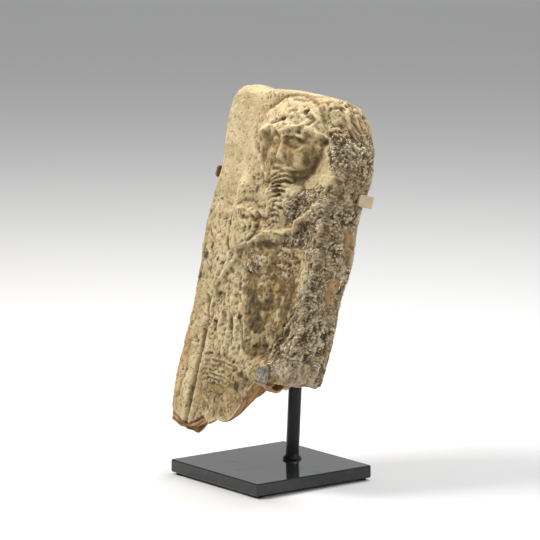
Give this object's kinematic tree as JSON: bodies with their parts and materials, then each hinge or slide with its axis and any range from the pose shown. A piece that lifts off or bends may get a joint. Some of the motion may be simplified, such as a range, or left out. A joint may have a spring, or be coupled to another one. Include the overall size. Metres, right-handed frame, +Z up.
{
  "type": "terracotta relief plaque on a stand",
  "caption": "Worn upright relief plaque with a bearded figure in a round cap, broken at the lower end, leaning back on a rod stand with bent clips and a square base plate.",
  "frame": {"origin": "centre of the object's box at the underside of the feet", "axes": "+Z up; the picture side faces -Y and leans back; X runs across the plaque, +X towards the crusted side; the base plate's edges lie along X and Y"},
  "size_m": [0.0702, 0.0508, 0.1366],
  "materials": {
    "terracotta": "unglazed buff clay, worn and pitted, with a grey-brown crust along the right side and orange broken clay",
    "black_steel": "smooth black paint, semi-gloss",
    "black_rod": "satin black paint",
    "clip_brass": "dull tan brass",
    "clip_grey": "mottled grey tip, the arm toned to the broken clay",
    "black_rubber": "matt black"
  },
  "bodies": {
    "root": {"plaque": "terracotta", "base_plate": "black_steel", "rod": "black_rod", "clip_left": "clip_brass", "clip_right": "clip_brass", "clip_bottom": "clip_grey", "foot_pad_1": "black_rubber", "foot_pad_2": "black_rubber", "foot_pad_3": "black_rubber", "foot_pad_4": "black_rubber"}
  },
  "joints": []
}
